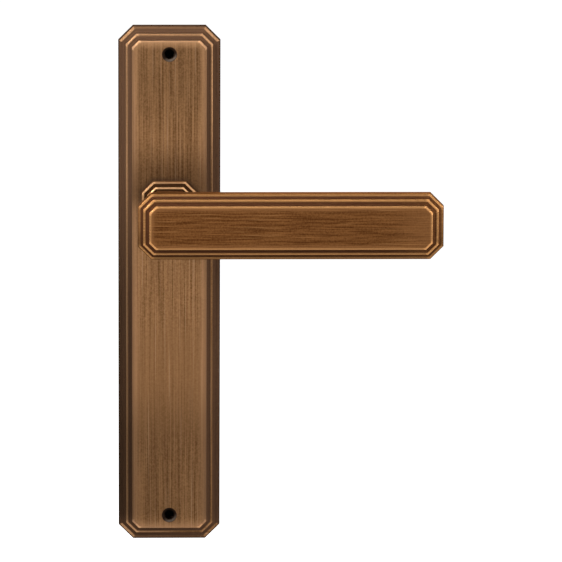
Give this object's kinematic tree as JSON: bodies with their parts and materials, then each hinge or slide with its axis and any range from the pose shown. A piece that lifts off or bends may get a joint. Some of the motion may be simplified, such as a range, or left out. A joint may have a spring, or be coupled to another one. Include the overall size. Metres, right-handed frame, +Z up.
{
  "type": "lever handle lockset",
  "caption": "Sprung lever door handle on a long backplate with stepped, cut-corner mouldings, an octagonal neck and collar, and a square spindle that passes through the door.",
  "frame": {"origin": "on the spindle axis, in the plane of the door face", "axes": "+Z up the door along the backplate, +X towards the lever's tip, -Y out of the door towards the user"},
  "size_m": [0.1568, 0.1266, 0.257],
  "materials": {
    "bronze_plate": "antique bronze, brushed along the plate, dark in the coves",
    "bronze_lever": "antique bronze, brushed along the bar, dark in the coves",
    "bronze_collar": "antique bronze, rubbed bright on the edges",
    "zinc_steel": "bright zinc plate",
    "spring_steel": "drawn spring steel, oiled",
    "black_steel": "black oxide",
    "acetal": "black acetal"
  },
  "bodies": {
    "plate": {"backplate": "bronze_plate", "bearing_bush": "acetal", "thrust_washer": "zinc_steel", "return_spring": "spring_steel", "stop_pins": "zinc_steel", "anchor_pin": "zinc_steel", "cover_plate": "zinc_steel", "cover_screws": "zinc_steel"},
    "lever": {"lever_handle": "bronze_lever", "neck_collar": "bronze_collar", "spindle": "zinc_steel", "grub_screw": "black_steel", "drive_ring": "zinc_steel", "wave_washer": "spring_steel", "circlip": "black_steel"}
  },
  "joints": [
    {"name": "lever_turn", "type": "hinge", "parent": "plate", "child": "lever", "pos_m": [0, 0, 0], "axis": [0, 1, 0], "range_deg": [0, 45], "stiffness_Nm_per_rad": 0.54, "springref_deg": -34.38, "deforming": ["return_spring"]}
  ]
}
